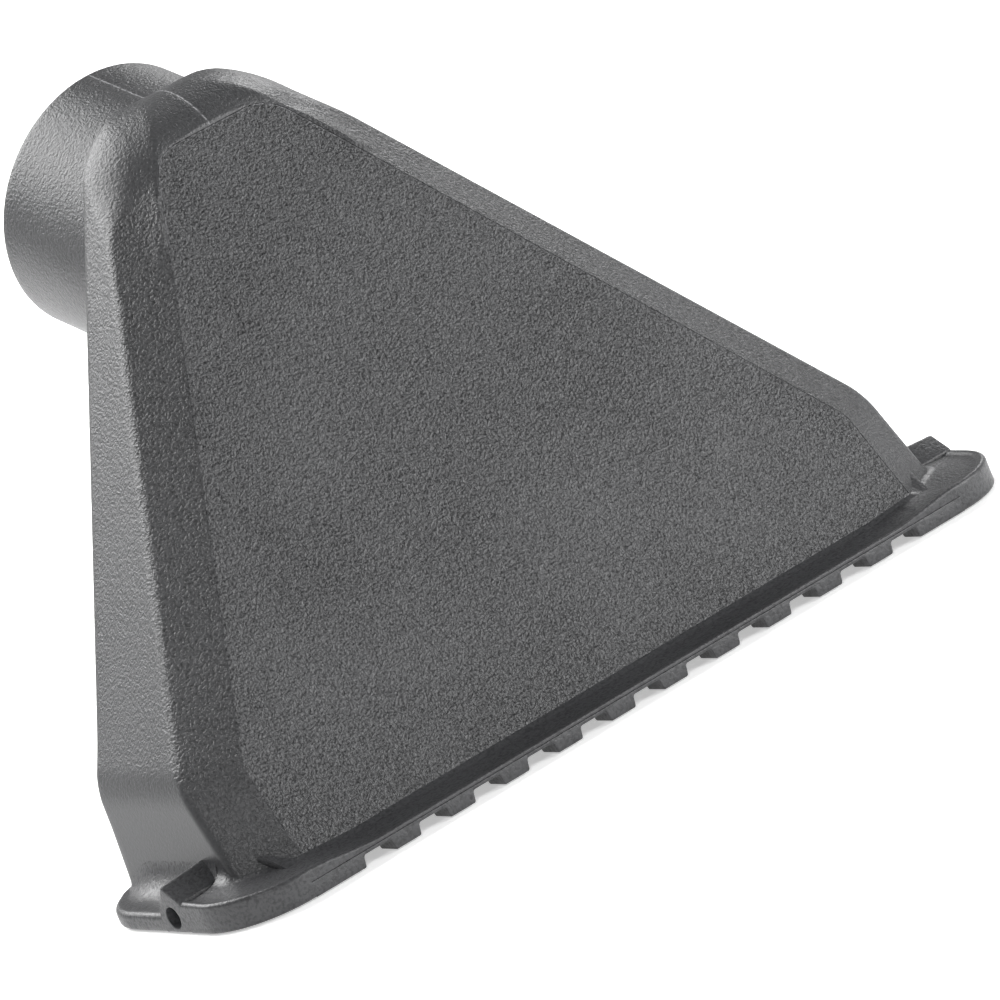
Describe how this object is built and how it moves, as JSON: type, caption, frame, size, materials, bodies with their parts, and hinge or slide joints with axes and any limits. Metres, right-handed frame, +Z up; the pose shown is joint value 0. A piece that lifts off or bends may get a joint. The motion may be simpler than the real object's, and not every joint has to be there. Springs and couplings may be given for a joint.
{
  "type": "wide suction head",
  "caption": "Wide wet and dry vacuum floor head: wedge hood with a toothed front lip, a rocking squeegee insert in the mouth and a tilted round hose socket.",
  "frame": {"origin": "on the floor, in the middle of the overall width and length", "axes": "+X along the mouth, +Y from the toothed front lip to the hose spigot, +Z up from the floor"},
  "size_m": [0.231, 0.1482, 0.1603],
  "materials": {
    "shell": "charcoal, satin with a fine grain",
    "cover": "charcoal with a leather grain",
    "frame": "charcoal, smooth satin",
    "sleeve": "charcoal, smooth",
    "pin": "black, smooth",
    "carrier": "black, smooth",
    "blade": "black rubber",
    "clamp": "stainless strip",
    "screw": "zinc plated"
  },
  "bodies": {
    "head": {"casing_left": "shell", "casing_right": "shell", "front_cover": "cover", "hose_sleeve": "sleeve", "mouth_frame": "frame", "toothed_lip": "frame", "pivot_pin_left": "pin", "pivot_pin_right": "pin", "frame_screws": "screw"},
    "insert": {"insert_frame": "carrier", "squeegee_blade": "blade", "blade_clamp": "clamp", "clamp_screws": "screw"}
  },
  "joints": [
    {"name": "insert_rock", "type": "hinge", "parent": "head", "child": "insert", "pos_m": [0, -0.04463, 0.0038], "axis": [1, 0, 0], "range_deg": [-2.5, 2.5]}
  ]
}
